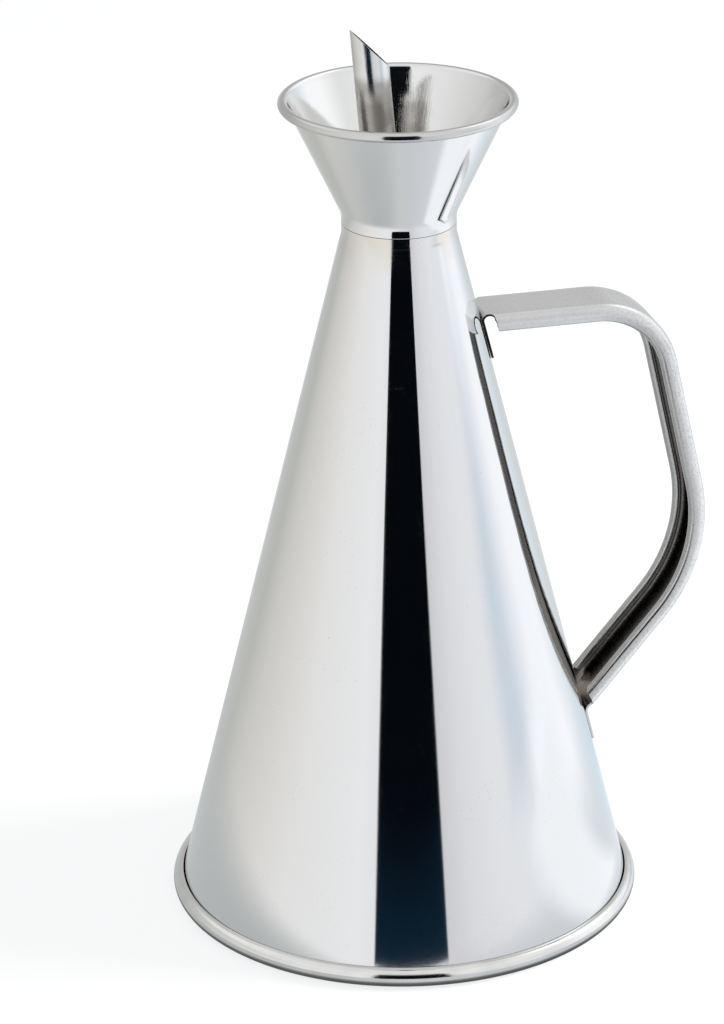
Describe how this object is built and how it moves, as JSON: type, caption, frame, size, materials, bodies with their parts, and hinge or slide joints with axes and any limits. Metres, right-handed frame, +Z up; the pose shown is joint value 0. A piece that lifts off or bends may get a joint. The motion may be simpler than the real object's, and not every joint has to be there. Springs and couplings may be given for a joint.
{
  "type": "oil dispenser",
  "caption": "Conical polished steel oil can with a rolled base, a drip funnel on its neck, a slash-cut pouring tube and a folded strap handle.",
  "frame": {"origin": "centre of the flat underside of the bottom plate, on the surface that the can stands on", "axes": "+Z up the can's axis, +X towards the handle, -X towards the side that pours, +Y across the handle"},
  "size_m": [0.1384, 0.12, 0.2306],
  "materials": {
    "polished_steel": "mirror polished",
    "satin_steel": "satin",
    "brushed_steel": "brushed",
    "weld_steel": "as welded"
  },
  "bodies": {
    "root": {"body_cone": "polished_steel", "bottom_plate": "satin_steel", "drip_funnel": "polished_steel", "neck_plate": "polished_steel", "spout_tube": "polished_steel", "spout_weld": "weld_steel", "handle_strap": "brushed_steel"}
  },
  "joints": []
}
